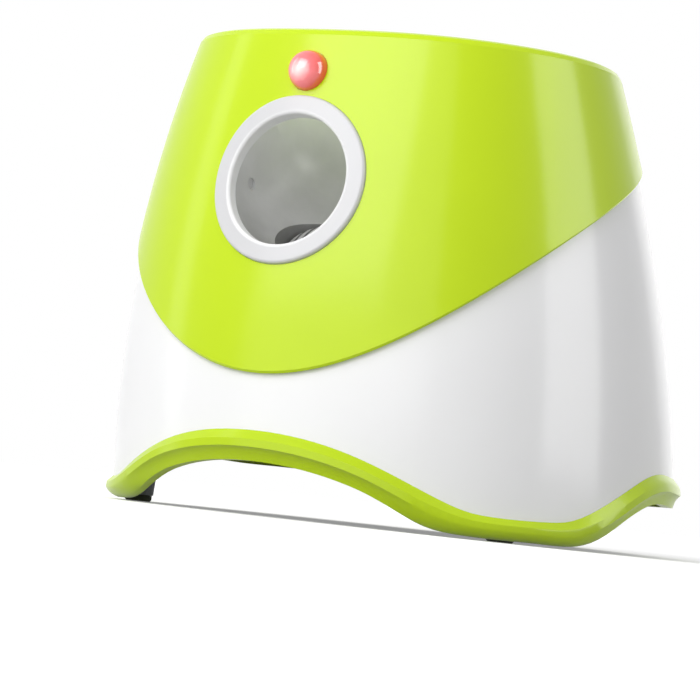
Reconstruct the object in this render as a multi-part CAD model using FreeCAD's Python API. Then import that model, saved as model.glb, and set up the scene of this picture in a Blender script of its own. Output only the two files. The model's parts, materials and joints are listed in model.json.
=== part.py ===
import FreeCAD, Part
import math
import os

# Automatic ball launcher for small (50 mm) tennis balls. Millimetres, +Z up, the exit faces -Y,
# and the origin is on the floor under the middle of the base. A ball dropped into the hopper rolls
# down the feed shaft into a round pocket behind the exit ring. A motor and gear train draw the
# sprung striker down its guide with a part-toothed gear, and the striker then shoots the ball out.

os.makedirs("parts", exist_ok=True)
V = FreeCAD.Vector

# ---------------------------------------------------------------- driving sizes
total_height = 215.0
base_radius = 129.7           # mean radius of the body at the floor
top_radius = 94.5             # mean radius of the body at the rim
belly = 1.2                   # how far the wall would swell upwards if it did not taper
base_middle_y = -1.1          # middle of the base's plan, along Y
forward_lean = 20.0           # the rim's middle stands this far in front of the base's middle
plan_base = {3: -0.0131, 4: -0.0015, 5: -0.0016, 6: 0.003}     # a rounded triangle, flat at the front
plan_top = {3: -0.0638, 4: 0.0034, 5: 0.004, 6: -0.0054}
rail_points = 48              # points on each closed curve round the body
level_count = 7               # curves up a tall wall

shell_wall = 2.5
cover_wall = 2.45
skin_gap = 0.15               # between the shell and the covers that lie on it
wave_terms = (142.3, -58.1, -19.2, -4.2, 0.2, 0.0, 0.1)
wave_lap = 4.0                # the shell reaches this far up behind the cover
arch_terms = (24.4, -0.1, -3.0, 13.2, 4.2, 1.2, -3.5)
rim_lip_width = 6.5
rim_lip_drop = 6.0
rim_edge_round = 3.0

band_proud = 3.0              # base rim outside the shell
band_low_foot = 0.8           # lower edge of the rim at the feet
band_height = 13.5            # height of the rim over the arches
band_blend = 5.0              # height over which the lower edge turns flat at the feet
band_flange = 4.8             # the rim reaches this far under the shell
band_floor = 5.5              # height of the rim's rolled lower edge
band_ledge = 0.70             # the bright ledge ends at this share of the rim's height
band_face = 0.45              # and the face below it at this one
band_shares = (0.32, 0.16, 0.0)            # curves of the rolled edge under the face
band_rounded = (0.4, 2.0, 5.4)             # how far they lie inside the face at a foot
band_coved = (1.7, 2.8, 3.6)               # and over the top of an arch
rear_arch = 36.5              # top of the rim over the rear arches
rear_foot = 7.8               # top of the rim over the rear foot
rear_foot_width = 17.5        # how far round the rear foot reaches, in degrees
rear_start = 85.0             # the rear arches take over between these angles
rear_end = 120.0

ball_radius = 25.0
exit_share = 0.681            # height of the exit's middle as a share of the whole height
exit_height = exit_share * total_height
exit_bore_radius = 29.4
exit_ring_radius = 38.0
exit_ring_proud = 1.8         # the ring's face follows the cover this far outside it
exit_ring_round = 1.4         # rounding of its edges
exit_ring_back = 6.0          # depth of the ring behind the cover's face
chamber_wall = 2.5
pocket_depth = 8.0            # middle of the ball pocket behind the cover's face
feed_slope = 35.0             # the floor between the feed shaft and the pocket
feed_back = 32.5              # axis of the feed shaft behind the middle of the pocket
chamber_drop = 33.8           # from the rim's height down to the top of the feed shaft
chamber_top = total_height - chamber_drop
chamber_flange_radius = 37.0

lamp_drop = 19.8              # middle of the warning lamp below the rim
lamp_height = total_height - lamp_drop
lamp_radius = 9.1
lamp_flange = 0.8
lamp_wall = 1.6
lamp_seat = 0.6               # the lens' flange lies this far behind the cover
led_radius = 2.5
led_base = 2.9

striker_slope = 45.0
port_radius = 15.5
head_radius = 14.0
head_face = 26.0              # from the ball's middle to the tip of the striker head
head_dome = 3.0
head_length = 12.0            # dome included
head_ribs = 7
head_rib_width = 1.6
head_rib_depth = 1.6
guide_clearance = 0.4
guide_wall = 3.0
guide_start = 30.8
guide_end = 112.0
guide_cap = 3.0
ear_places = (42.0, 98.0)     # where the guide's ears start, along the striker
collar_wall = 2.5
collar_start = 14.0
collar_end = 37.0
rack_width = 9.0
rack_pitch_offset = 11.5      # pitch line of the rack from the striker's axis
rack_back = 2.6               # bar left under the rack's teeth
rack_teeth = 9
spring_radius = 5.6           # to the middle of the wire
spring_wire = 1.5
spring_turns = 8

gear_module = 1.0
rack_module = 1.25
pressure_angle = 25.0
addendum = 0.8
dedendum = 1.05
backlash = 0.14
sector_full_teeth = 24
sector_teeth = 10
driven_teeth = 44
wheel_teeth = 32
pinion_teeth = 12
gear_face = 4.0
sector_face = 8.0
mesh_place = 74.0             # from the ball's middle, along the striker, to the sector gear
gear_gap = 1.5                # between gears on neighbouring planes
axle_radius = 2.0
axle_fit = 0.05
press_clearance = 0.02
hub_radius = 5.0
angle_to_a = 40.0
angle_to_b = 100.0
angle_to_motor = 60.0

plate_wall = 2.5
plate_left_x = -21.5          # inner face of the left gearbox plate
plate_margin = 9.0
plate_foot_depth = 14.0
plate_ear = 8.0

motor_radius = 13.85
motor_length = 38.0
motor_boss_radius = 5.0
motor_boss_length = 2.0
motor_shaft_radius = 1.15
motor_tail_radius = 5.0
motor_tail_length = 2.5
motor_tab_length = 5.0
motor_tab_half = 1.5
motor_tab_wall = 0.6
motor_tab_place = 9.0
motor_shaft_reach = 12.0      # beyond the gearbox's right-hand plate
motor_shaft_tip = 0.5         # past the pinion, and clear of the bottom of the motor's bore

floor_top = 43.5              # upper face of the bottom plate
floor_wall = 2.5
edge_gap = 0.4
leg_top_radius = 9.4
leg_bottom_radius = 6.8
leg_wall = 2.2
leg_places = {"front_left": (-53.0, 12.0), "front_right": (53.0, 12.0), "rear": (180.0, 18.0)}
foot_radius = 6.2
foot_edge = 0.8               # chamfer round the sole
foot_groove = 1.0             # ring groove in the sole
foot_height = 3.0
foot_pin_radius = 2.5
foot_pin_length = 5.0
foot_fit = 0.1

cell_radius = 13.1
cell_length = 50.0
cell_rows = 3
cells_in_line = 2
cell_gap = 1.2
contact_room = 6.0
bay_wall = 4.0
bay_front_y = 11.0
bay_height = 30.0
bay_roof = 2.0
door_seat = 2.0               # the door laps the bay's wall by this much
door_gap = 0.4
door_under = 0.2
door_pin_radius = 0.8
door_latch = 9.0              # half the width of the latch's tongue and the grip
door_tongue = 2.0             # the tongue reaches this far over the seat's edge
door_grip = 2.4               # pitch of the grip's grooves
door_grips = 3
door_pin_length = 1.4
contact_thickness = 0.5
contact_size = 16.0
leaf_height = 4.0

board_size = (90.0, 64.0, 1.6)
board_post = 8.0
board_post_radius = 3.2
board_inset = 6.0
chip_size = (16.0, 16.0, 2.0)
plug_size = (10.0, 7.0, 6.0)
plug_places = (-20.0, -5.0, 10.0)
plug_back = 28.0
can_radius = 4.0
can_height = 11.0
can_x = 28.0
can_places = (-12.0, 0.0)
screw_radius = 1.4
screw_head_radius = 2.8
screw_head_height = 2.0
screw_gap = 0.1
screw_fit = 0.02
cross_long = 1.6
cross_wide = 0.35
cross_depth = 0.9
case_screw_reach = 14.5
gearbox_screw_reach = 4.3
board_screw_reach = 7.6

panel_height = 104.0
panel_half_width = 24.0
panel_half_height = 11.0
panel_depth = 6.0
panel_proud = 1.2
button_radius = 7.0
button_proud = 2.2
button_travel = 1.2
button_gap = 0.2
button_stem_radius = 2.0
button_place = -6.0           # along the panel
button_floor = 2.0            # bottom of the button's well above the panel's back
button_round = 0.8
button_dish = 60.0            # radius of the hollow in the button's face
button_board_half = (20.0, 8.0)
button_board_gap = 7.0        # behind the panel
board_wall = 1.2
switch_half = 3.0
switch_height = 3.8
indicator_radius = 1.8
indicator_pitch = 7.0
indicator_start = 12.0
indicator_count = 2
socket_height = 66.0
socket_radius = 5.5
socket_bore = 2.75
socket_pin = 1.0
socket_length = 12.0
socket_flange = 7.5

speaker_place = (78.0, -9.0)
speaker_radius = 14.0
speaker_height = 6.0
speaker_hole_radius = 1.2
speaker_rings = {0.0: 1, 4.2: 6, 8.4: 12}   # radius of each ring of sound holes and their number
speaker_wall = 2.5
sensor_radius = 2.5
sensor_fit = 0.1
sensor_back = 9.0             # behind the middle of the ball pocket
sensor_body_radius = 4.0
sensor_body_length = 6.0
boss_radius = 4.5
boss_height = 18.0
boss_angles = (-72.0, 72.0, -128.0, 128.0)


# ---------------------------------------------------------------- the body's form
def section_centre(z):
    return base_middle_y - forward_lean * z / total_height


def wall_point(angle, z, offset):
    """Point on the body at an angle from the front, moved outwards by an offset."""
    t = z / total_height
    mean = base_radius + belly * t - (base_radius + belly - top_radius) * t * t
    share = 1.0
    for wave in plan_base:
        lobe = plan_base[wave] + (plan_top[wave] - plan_base[wave]) * t
        share += lobe * math.cos(wave * angle)
    radius = mean * share + offset
    return V(radius * math.sin(angle), section_centre(z) - radius * math.cos(angle), z)


def cosine_sum(terms, angle):
    return sum(term * math.cos(order * angle) for order, term in enumerate(terms))


def wave_edge(angle):
    return cosine_sum(wave_terms, angle)


def smooth_share(value, start, end):
    """0 before start, 1 after end, and smooth between them."""
    share = min(1.0, max(0.0, (value - start) / (end - start)))
    return share * share * (3.0 - 2.0 * share)


def arch_edge(angle):
    """Upper edge of the base rim: three feet with arches between them."""
    away = math.degrees(abs(angle))
    foot = math.exp(-((180.0 - away) / rear_foot_width) ** 2)
    rear = rear_arch - (rear_arch - rear_foot) * foot
    share = smooth_share(away, rear_start, rear_end)
    return (1.0 - share) * cosine_sum(arch_terms, angle) + share * rear


def band_low(angle):
    """Lower edge of the base rim: one height below the arch, and flat along the feet."""
    rise = arch_edge(angle) - band_height - band_low_foot
    return band_low_foot + (rise + math.hypot(rise, band_blend)) / 2.0


def closed_rail(place):
    """Closed smooth curve through place(angle) for angles all the way round."""
    points = [place(-math.pi + 2.0 * math.pi * i / rail_points) for i in range(rail_points)]
    curve = Part.BSplineCurve()
    curve.interpolate(Points=points, PeriodicFlag=True)
    return Part.Wire([curve.toShape()])


def body_rail(offset, height):
    def place(angle):
        z = height(angle) if callable(height) else height
        return wall_point(angle, z, offset)
    return closed_rail(place)


def levels(low, high):
    """Height functions spread evenly between two edges."""
    def between(share):
        return lambda angle: low(angle) + share * (high(angle) - low(angle))
    return [between(i / (level_count - 1)) for i in range(level_count)]


def shell_from_rails(strips):
    """Closed solid from strips of rails; each strip starts where the last one ended."""
    faces = []
    for rails in strips:
        faces += Part.makeLoft(rails, False, len(rails) == 2).Faces
    shell = Part.makeShell(faces)
    shell.sewShape()
    solid = Part.makeSolid(shell)
    if solid.Volume < 0:
        solid.reverse()
    return solid


def bands(rails):
    """Two-rail strips along a list of rails."""
    return [[first, second] for first, second in zip(rails, rails[1:])]


def wall_tilt(angle, z):
    """How far the wall's outward normal looks up, in degrees."""
    low = wall_point(angle, z - 1.0, 0.0)
    high = wall_point(angle, z + 1.0, 0.0)
    inwards = (low.x - high.x) * math.sin(angle) - (low.y - high.y) * math.cos(angle)
    return math.degrees(math.atan2(inwards, 2.0))


# ---------------------------------------------------------------- placing and simple solids
def turned(shape, slope, origin):
    """Turn a shape about X and move its origin."""
    out = shape.copy()
    move = FreeCAD.Placement(origin, FreeCAD.Rotation(V(1, 0, 0), slope))
    out.Placement = move.multiply(out.Placement)
    return out


def rod(radius, start, end, x=0.0, y=0.0):
    return Part.makeCylinder(radius, end - start, V(x, y, start), V(0, 0, 1))


def tube(outer, inner, start, end):
    return rod(outer, start, end).cut(rod(inner, start - 1, end + 1))


def block(x0, x1, y0, y1, z0, z1):
    return Part.makeBox(x1 - x0, y1 - y0, z1 - z0, V(x0, y0, z0))


def across(radius, x0, x1, y, z):
    """Cylinder along X."""
    return Part.makeCylinder(radius, x1 - x0, V(x0, y, z), V(1, 0, 0))


def fused(shapes):
    first = shapes[0]
    return first.fuse(shapes[1:]).removeSplitter() if len(shapes) > 1 else first


def rounded_slab(half_x, half_y, corner, z0, z1):
    slab = block(-half_x, half_x, -half_y, half_y, z0, z1)
    upright = [edge for edge in slab.Edges if abs(edge.Vertexes[0].Z - edge.Vertexes[1].Z) > 1e-6]
    return slab.makeFillet(corner, upright)


def write(name, shape):
    shape.exportStep("parts/" + name + ".step")
    solids = len(shape.Solids)
    print(name, "solids", solids, "valid", shape.isValid(), "volume", round(shape.Volume, 1))


# ---------------------------------------------------------------- shared places
exit_face = wall_point(0.0, exit_height, skin_gap + cover_wall)
exit_tilt = wall_tilt(0.0, exit_height)
exit_turn = 90.0 - exit_tilt
exit_normal = V(0, -math.cos(math.radians(exit_tilt)), math.sin(math.radians(exit_tilt)))
pocket_middle = exit_face - exit_normal * pocket_depth
ball_seat = pocket_middle - V(0, 0, exit_bore_radius - ball_radius)
feed_middle = pocket_middle + V(0, feed_back, feed_back * math.tan(math.radians(feed_slope)))
striker_turn = -(90.0 + striker_slope)
striker_back = V(0, math.cos(math.radians(striker_slope)), -math.sin(math.radians(striker_slope)))
striker_up = V(0, math.sin(math.radians(striker_slope)), math.cos(math.radians(striker_slope)))
sector_radius = rack_module * sector_full_teeth / 2.0
sector_middle = ball_seat + striker_back * mesh_place + striker_up * (rack_pitch_offset + sector_radius)


def polar(middle, distance, degrees):
    turn = math.radians(degrees)
    return V(0, middle.y + distance * math.cos(turn), middle.z + distance * math.sin(turn))


big_step = gear_module * (driven_teeth + pinion_teeth) / 2.0
small_step = gear_module * (wheel_teeth + pinion_teeth) / 2.0
gear_a_middle = polar(sector_middle, big_step, angle_to_a)
gear_b_middle = polar(gear_a_middle, small_step, angle_to_b)
motor_middle = polar(gear_b_middle, small_step, angle_to_motor)
guide_outer = head_radius + guide_clearance + guide_wall
driven_x = guide_outer + 2.0
first_plane = driven_x
second_plane = first_plane + gear_face + gear_gap
third_plane = second_plane + gear_face + gear_gap
plate_right_x = third_plane + gear_face + gear_gap


def in_striker(shape):
    """Local Z runs back down the striker's axis from the ball; local -Y is its upper side."""
    return turned(shape, striker_turn, ball_seat)


def in_exit(shape):
    """Local Z looks out of the exit; local Y is up."""
    return turned(shape, exit_turn, exit_face)


def in_lamp(shape):
    """Local Z looks out of the cover at the warning lamp."""
    place = wall_point(0.0, lamp_height, skin_gap + cover_wall)
    return turned(shape, 90.0 - wall_tilt(0.0, lamp_height), place)


def in_panel(shape):
    """Local Z looks out of the back wall; local Y is down."""
    return turned(shape, wall_tilt(math.pi, panel_height) - 90.0, wall_point(math.pi, panel_height, 0.0))


def in_socket(shape):
    return turned(shape, wall_tilt(math.pi, socket_height) - 90.0, wall_point(math.pi, socket_height, 0.0))


# ---------------------------------------------------------------- housing
def make_upper_cover():
    low_edge = wave_edge
    outer = skin_gap + cover_wall
    rim_top = lambda angle: total_height - rim_edge_round
    outer_low = lambda angle: low_edge(angle) + 1.0
    inner_top = lambda angle: total_height - rim_edge_round - 2.0
    outside = [body_rail(outer, height) for height in levels(outer_low, rim_top)]
    inside = [body_rail(skin_gap, height) for height in levels(low_edge, inner_top)]
    lip_in = -rim_lip_width
    lip_wall = lip_in + 2.2
    edge = [inside[0], body_rail(outer - 0.8, low_edge), outside[0]]
    rim = [outside[-1],
           body_rail(outer - 0.9, total_height - 0.9),
           body_rail(outer - rim_edge_round, total_height),
           body_rail(lip_in + 1.5, total_height),
           body_rail(lip_in, total_height - 1.5),
           body_rail(lip_in, total_height - rim_lip_drop),
           body_rail(lip_wall, total_height - rim_lip_drop),
           body_rail(lip_wall, total_height - 2.4),
           inside[-1]]
    cover = shell_from_rails(bands(edge) + [outside] + bands(rim) + [inside[::-1]])
    ring_hole = in_exit(rod(exit_ring_radius + skin_gap, -20.0, 20.0))
    lamp_hole = in_lamp(rod(lamp_radius + skin_gap, -20.0, 20.0))
    return cover.cut(ring_hole).cut(lamp_hole)


def make_body_shell():
    low = lambda angle: band_low(angle) + band_floor + edge_gap
    high = lambda angle: wave_edge(angle) + wave_lap
    outside = [body_rail(0.0, height) for height in levels(low, high)]
    inside = [body_rail(-shell_wall, height) for height in levels(low, high)]
    shell = shell_from_rails([outside, [outside[-1], inside[-1]], inside[::-1], [inside[0], outside[0]]])
    shell = fused([shell] + [boss_solid(angle) for angle in boss_angles])
    bores = [rod(screw_radius, floor_top - 1.0, floor_top + boss_height - 2.0, *boss_xy(angle))
             for angle in boss_angles]
    panel_cut = in_panel(rounded_slab(panel_half_width + skin_gap, panel_half_height + skin_gap,
                                      4.0, -20.0, 20.0))
    socket_cut = in_socket(rod(socket_radius + skin_gap, -20.0, 20.0))
    return shell.cut(bores + [panel_cut, socket_cut])


def boss_xy(degrees):
    place = wall_point(math.radians(degrees), floor_top + boss_height, -shell_wall - boss_radius + 1.0)
    return place.x, place.y


def boss_solid(degrees):
    x, y = boss_xy(degrees)
    return rod(boss_radius, floor_top + edge_gap, floor_top + boss_height, x, y)


def band_rail(offset, share):
    """Curve along the rim, share 0 at its lower edge and 1 at its upper."""
    return body_rail(offset, lambda angle: band_low(angle) + share * (arch_edge(angle) - band_low(angle)))


def under_rail(index):
    """Curve of the rolled edge: round at the feet, hollow over the arches."""
    def place(angle):
        low = band_low(angle)
        hollow = smooth_share(low - band_low_foot, 0.0, band_height)
        inside = band_rounded[index] + hollow * (band_coved[index] - band_rounded[index])
        z = low + band_shares[index] * (arch_edge(angle) - low)
        return wall_point(angle, z, band_proud - inside)
    return closed_rail(place)


def make_base_rim():
    top = band_rail(skin_gap, 1.0)
    face_top = band_rail(band_proud, band_ledge)
    face_low = band_rail(band_proud + 0.2, band_face)
    under = [face_low] + [under_rail(index) for index in range(len(band_shares))]
    flange = [under[-1],
              body_rail(-band_flange, band_low),
              body_rail(-band_flange, lambda angle: band_low(angle) + band_floor),
              body_rail(skin_gap, lambda angle: band_low(angle) + band_floor),
              top]
    return shell_from_rails([[top, face_top], [face_top, face_low], under] + bands(flange))


def bowl_rail(share, outward, height):
    """Curve between the rim's plan and the feed shaft's outline, share 0 to 1."""
    def place(angle):
        rim = wall_point(angle, total_height - rim_lip_drop, -rim_lip_width - 1.7)
        way = V(math.sin(angle), -math.cos(angle), 0)
        feed = V(0, feed_middle.y, 0) + way * exit_bore_radius
        blend = rim * (1.0 - share) + feed * share + way * outward
        return V(blend.x, blend.y, height)
    return closed_rail(place)


def make_hopper_bowl():
    flange_top = total_height - rim_lip_drop - 0.4
    feed_top = chamber_top + edge_gap + 2.5
    drop = flange_top - feed_top
    shares = (0.0, 0.12, 0.4, 0.7, 1.0)
    depths = (0.0, 0.42, 0.68, 0.86, 1.0)
    inner = [bowl_rail(share, 0.0, flange_top - depth * drop) for share, depth in zip(shares, depths)]
    outer = [bowl_rail(share, 2.5, flange_top - 2.5 - depth * drop)
             for share, depth in zip(shares, depths)]
    flange = [outer[0],
              body_rail(-0.4, flange_top - 2.5),
              body_rail(-0.4, flange_top),
              inner[0]]
    return shell_from_rails(bands(flange) + [inner] + [[inner[-1], outer[-1]]] + [outer[::-1]])


# ---------------------------------------------------------------- exit and ball path
def body_slab(offset, low, high):
    """The body's whole form between two heights, moved outwards by an offset."""
    heights = [low + (high - low) * i / (level_count - 1) for i in range(level_count)]
    rails = [body_rail(offset, height) for height in heights]
    faces = Part.makeLoft(rails, False, False).Faces + [Part.Face(rails[0]), Part.Face(rails[-1])]
    shell = Part.makeShell(faces)
    shell.sewShape()
    solid = Part.makeSolid(shell)
    if solid.Volume < 0:
        solid.reverse()
    return solid


def make_exit_ring():
    """Ring round the exit whose face follows the cover, with rounded edges."""
    reach = exit_ring_radius + 2.0 * cover_wall
    blank = in_exit(tube(exit_ring_radius, exit_bore_radius, -exit_ring_back, reach))
    form = body_slab(skin_gap + cover_wall + exit_ring_proud, exit_height - reach, exit_height + reach)
    ring = blank.common(form)
    edges = []
    for face in ring.Faces:
        if "BSpline" in face.Surface.TypeId:
            edges += face.Edges
    return ring.makeFillet(exit_ring_round, edges)


def ball_path(radius, top):
    """The elbow that the ball follows: feed shaft, sloping run, round pocket and exit bore."""
    run = feed_middle - pocket_middle
    return [in_exit(rod(radius, -pocket_depth, 6.0)),
            Part.makeSphere(radius, pocket_middle),
            Part.makeCylinder(radius, run.Length, pocket_middle, run),
            Part.makeSphere(radius, feed_middle),
            Part.makeCylinder(radius, top - feed_middle.z, feed_middle, V(0, 0, 1))]


def make_launch_chamber():
    wall = chamber_wall
    behind_ring = in_exit(block(-60.0, 60.0, -60.0, 60.0, -100.0, -exit_ring_back - press_clearance * 10))
    outer = fused(ball_path(exit_bore_radius + wall, chamber_top)[1:]).common(behind_ring)
    flange = in_exit(rod(chamber_flange_radius, -exit_ring_back - 2.7, -exit_ring_back - 0.2))
    collar = in_striker(rod(guide_outer + collar_wall, collar_start, collar_end))
    outer = fused([outer, flange, collar]).common(block(-60.0, 60.0, -200.0, 60.0, 0.0, chamber_top))
    for space in ball_path(exit_bore_radius, chamber_top + 20.0):
        outer = outer.cut(space)
    port = in_striker(rod(port_radius, 0.0, guide_start + 1.0))
    seat = in_striker(rod(guide_outer + skin_gap, guide_start - skin_gap, collar_end + 1.0))
    eyes = across(sensor_radius + sensor_fit, -60.0, 60.0, pocket_middle.y + sensor_back, pocket_middle.z)
    return outer.cut([port, seat, eyes])


def make_sensor(side):
    y = pocket_middle.y + sensor_back
    z = pocket_middle.z
    wall_x = exit_bore_radius + chamber_wall
    inner = across(sensor_radius, exit_bore_radius + 0.5, wall_x + 1.0, y, z)
    body = across(sensor_body_radius, wall_x + skin_gap, wall_x + sensor_body_length, y, z)
    sensor = inner.fuse(body)
    return sensor if side > 0 else sensor.mirror(V(0, 0, 0), V(1, 0, 0))


def make_lamp_lens():
    behind = -cover_wall - lamp_seat
    dome = Part.makeSphere(lamp_radius).common(rod(lamp_radius, -lamp_seat, lamp_radius))
    skirt = rod(lamp_radius, behind, 0.0)
    flange = rod(lamp_radius + lamp_flange, behind - lamp_wall, behind)
    lens = fused([dome, skirt, flange])
    hollow = Part.makeSphere(lamp_radius - lamp_wall, V(0, 0, -lamp_seat))
    room = rod(lamp_radius - lamp_wall, behind - 2.0 * lamp_wall, -lamp_seat)
    return in_lamp(lens.cut(hollow).cut(room))


def lamp_board_top():
    return -cover_wall - lamp_seat - lamp_wall - lamp_wall / 4.0


def make_lamp_led():
    low = lamp_board_top()
    led = fused([rod(led_radius, low, -lamp_seat), Part.makeSphere(led_radius, V(0, 0, -lamp_seat)),
                 rod(led_base, low, low + lamp_flange)])
    return in_lamp(led)


def make_lamp_board():
    top = lamp_board_top() - press_clearance
    half = lamp_radius + lamp_flange
    return in_lamp(rounded_slab(half, led_base + lamp_wall, lamp_wall, top - board_size[2], top))


# ---------------------------------------------------------------- striker
def make_striker_head():
    """Domed head with straight ribs across its face."""
    body = rod(head_radius, head_face + head_dome, head_face + head_length)
    dome_radius = (head_radius ** 2 + head_dome ** 2) / (2.0 * head_dome)
    dome = Part.makeSphere(dome_radius, V(0, 0, head_face + dome_radius))
    dome = dome.common(rod(head_radius, head_face - 1.0, head_face + head_dome))
    head = fused([body, dome])
    pitch = 2.0 * head_radius / head_ribs
    slots = []
    for i in range(head_ribs - 1):
        x = -head_radius + pitch * (i + 1)
        slots.append(block(x - head_rib_width / 2, x + head_rib_width / 2, -20, 20,
                           head_face - 1.0, head_face + head_dome + head_rib_depth))
    return in_striker(head.cut(slots))


def make_striker_rack():
    """Bar behind the head, toothed on its upper side."""
    pitch = math.pi * rack_module
    start = head_face + head_length
    tip = rack_pitch_offset + addendum * rack_module
    root = rack_pitch_offset - dedendum * rack_module
    slope = math.tan(math.radians(pressure_angle))
    half_pitch_line = pitch / 4.0 - backlash / 2.0
    half_tip = half_pitch_line - addendum * rack_module * slope
    half_root = half_pitch_line + dedendum * rack_module * slope
    end = mesh_place + pitch * 1.2
    outline = [V(0, -root + rack_back, start), V(0, -root, start)]
    for i in range(rack_teeth):
        middle = mesh_place + pitch / 2.0 - pitch * (rack_teeth - 1 - i)
        outline += [V(0, -root, middle - half_root), V(0, -tip, middle - half_tip),
                    V(0, -tip, middle + half_tip), V(0, -root, middle + half_root)]
    outline += [V(0, -root, end), V(0, -root + rack_back, end)]
    face = Part.Face(Part.makePolygon(outline + [outline[0]]))
    bar = face.extrude(V(rack_width, 0, 0))
    bar.translate(V(-rack_width / 2.0, 0, 0))
    return in_striker(bar)


def make_striker_guide():
    inner = head_radius + guide_clearance
    body = tube(guide_outer, inner, guide_start, guide_end)
    slot_half = sector_face / 2.0 + 1.2
    reach = sector_radius + addendum * rack_module + 1.5
    depth = rack_pitch_offset + sector_radius - inner + 1.0
    slot_long = math.sqrt(max(reach ** 2 - depth ** 2, 1.0)) + 4.0
    slot_low = mesh_place - slot_long
    slot_high = mesh_place + slot_long
    slot = block(-slot_half, slot_half, -guide_outer - 1, -6.0, slot_low, slot_high)
    ears = []
    for place in ear_places:
        left = block(plate_left_x + skin_gap, -inner - 1.0, -plate_ear / 2, plate_ear / 2,
                     place, place + plate_ear)
        right = block(inner + 1.0, plate_right_x - skin_gap, -plate_ear / 2, plate_ear / 2,
                      place, place + plate_ear)
        ears += [left, right]
    guide = fused([body] + ears)
    return in_striker(guide.cut(slot))


def make_guide_cap():
    cap = fused([rod(guide_outer, guide_end + 0.1, guide_end + guide_cap),
                 rod(head_radius, guide_end - 2.0, guide_end + 0.1),
                 rod(spring_radius - spring_wire, guide_end - 8.0, guide_end - 2.0)])
    return in_striker(cap)


def make_striker_spring():
    """Compression spring of square wire between the head and the cap."""
    start = head_face + head_length + 0.2
    end = guide_end - 2.2
    length = end - start - spring_wire
    helix = Part.makeHelix(length / spring_turns, length, spring_radius)
    half = spring_wire / 2.0
    section = Part.makePolygon([V(spring_radius - half, 0, -half), V(spring_radius + half, 0, -half),
                                V(spring_radius + half, 0, half), V(spring_radius - half, 0, half),
                                V(spring_radius - half, 0, -half)])
    spring = Part.Wire(helix.Edges).makePipeShell([section], True, True)
    spring.translate(V(0, 0, start + half))
    return in_striker(spring)


# ---------------------------------------------------------------- gears
def involute(angle):
    return math.tan(angle) - angle


def tooth_half_angle(radius, teeth, module):
    """Half the tooth's angle at a radius."""
    pitch_radius = module * teeth / 2.0
    base = pitch_radius * math.cos(math.radians(pressure_angle))
    at_pitch = math.pi / (2.0 * teeth) - backlash / (2.0 * pitch_radius)
    here = math.acos(min(1.0, base / max(radius, base)))
    return at_pitch + involute(math.radians(pressure_angle)) - involute(here)


def gear(middle, teeth, module, x, face, phase, count=None, bore=axle_radius + axle_fit):
    """Spur gear about X. phase is the direction of tooth 0 in degrees from +Y towards +Z."""
    pitch_radius = module * teeth / 2.0
    root = pitch_radius - dedendum * module
    tip = pitch_radius + addendum * module
    kept = teeth if count is None else count
    step = 2.0 * math.pi / teeth
    points = []

    def add(radius, angle):
        points.append(V(x, middle.y + radius * math.cos(angle), middle.z + radius * math.sin(angle)))

    for i in range(teeth):
        centre = math.radians(phase) + i * step
        if i < kept:
            for radius in (root, pitch_radius, tip):
                add(radius, centre - tooth_half_angle(radius, teeth, module))
            for radius in (tip, pitch_radius, root):
                add(radius, centre + tooth_half_angle(radius, teeth, module))
        else:
            add(root, centre)
    solid = Part.Face(Part.makePolygon(points + [points[0]])).extrude(V(face, 0, 0))
    return solid.cut(across(bore, x - 1.0, x + face + 1.0, middle.y, middle.z))


def washer(middle, radius, x0, x1, bore=axle_radius + axle_fit):
    return across(radius, x0, x1, middle.y, middle.z).cut(across(bore, x0 - 1, x1 + 1, middle.y, middle.z))


def meshing_phase(angle_between, teeth):
    """Direction of a tooth on the second gear so that a gap faces the first gear's tooth."""
    return angle_between + 180.0 + 180.0 / teeth


def make_sector_gear():
    toward_rack = 270.0 - striker_slope
    step = 360.0 / sector_full_teeth
    first = toward_rack - step * (sector_teeth - 2)
    half = sector_face / 2.0
    sector = gear(sector_middle, sector_full_teeth, rack_module, -half, sector_face, first, sector_teeth)
    hub = washer(sector_middle, hub_radius + 1.5, half, driven_x)
    driven = gear(sector_middle, driven_teeth, gear_module, driven_x, gear_face, angle_to_a)
    left_hub = washer(sector_middle, hub_radius, plate_left_x + 0.5, -half)
    right_hub = washer(sector_middle, hub_radius, driven_x + gear_face, plate_right_x - 0.5)
    return fused([sector, hub, driven, left_hub, right_hub])


def make_compound_gear(middle, angle_in, angle_out, pinion_x, wheel_x):
    phase_in = meshing_phase(angle_in, pinion_teeth)
    pinion = gear(middle, pinion_teeth, gear_module, pinion_x, gear_face, phase_in)
    wheel = gear(middle, wheel_teeth, gear_module, wheel_x, gear_face, angle_out)
    sleeve = washer(middle, hub_radius - 0.6, pinion_x + gear_face, wheel_x)
    left = washer(middle, hub_radius - 0.6, plate_left_x + 0.5, pinion_x)
    right = washer(middle, hub_radius - 0.6, wheel_x + gear_face, plate_right_x - 0.5)
    return fused([pinion, wheel, sleeve, left, right])


def make_motor_pinion():
    phase = meshing_phase(angle_to_motor, pinion_teeth)
    return gear(motor_middle, pinion_teeth, gear_module, third_plane, gear_face, phase, None,
                motor_shaft_radius + press_clearance)


def make_axle(middle):
    return across(axle_radius, plate_left_x - plate_wall, plate_right_x + plate_wall, middle.y, middle.z)


def make_motor_shaft():
    return across(motor_shaft_radius, third_plane - motor_shaft_tip,
                  plate_right_x + plate_wall + motor_shaft_reach, motor_middle.y, motor_middle.z)


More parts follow.
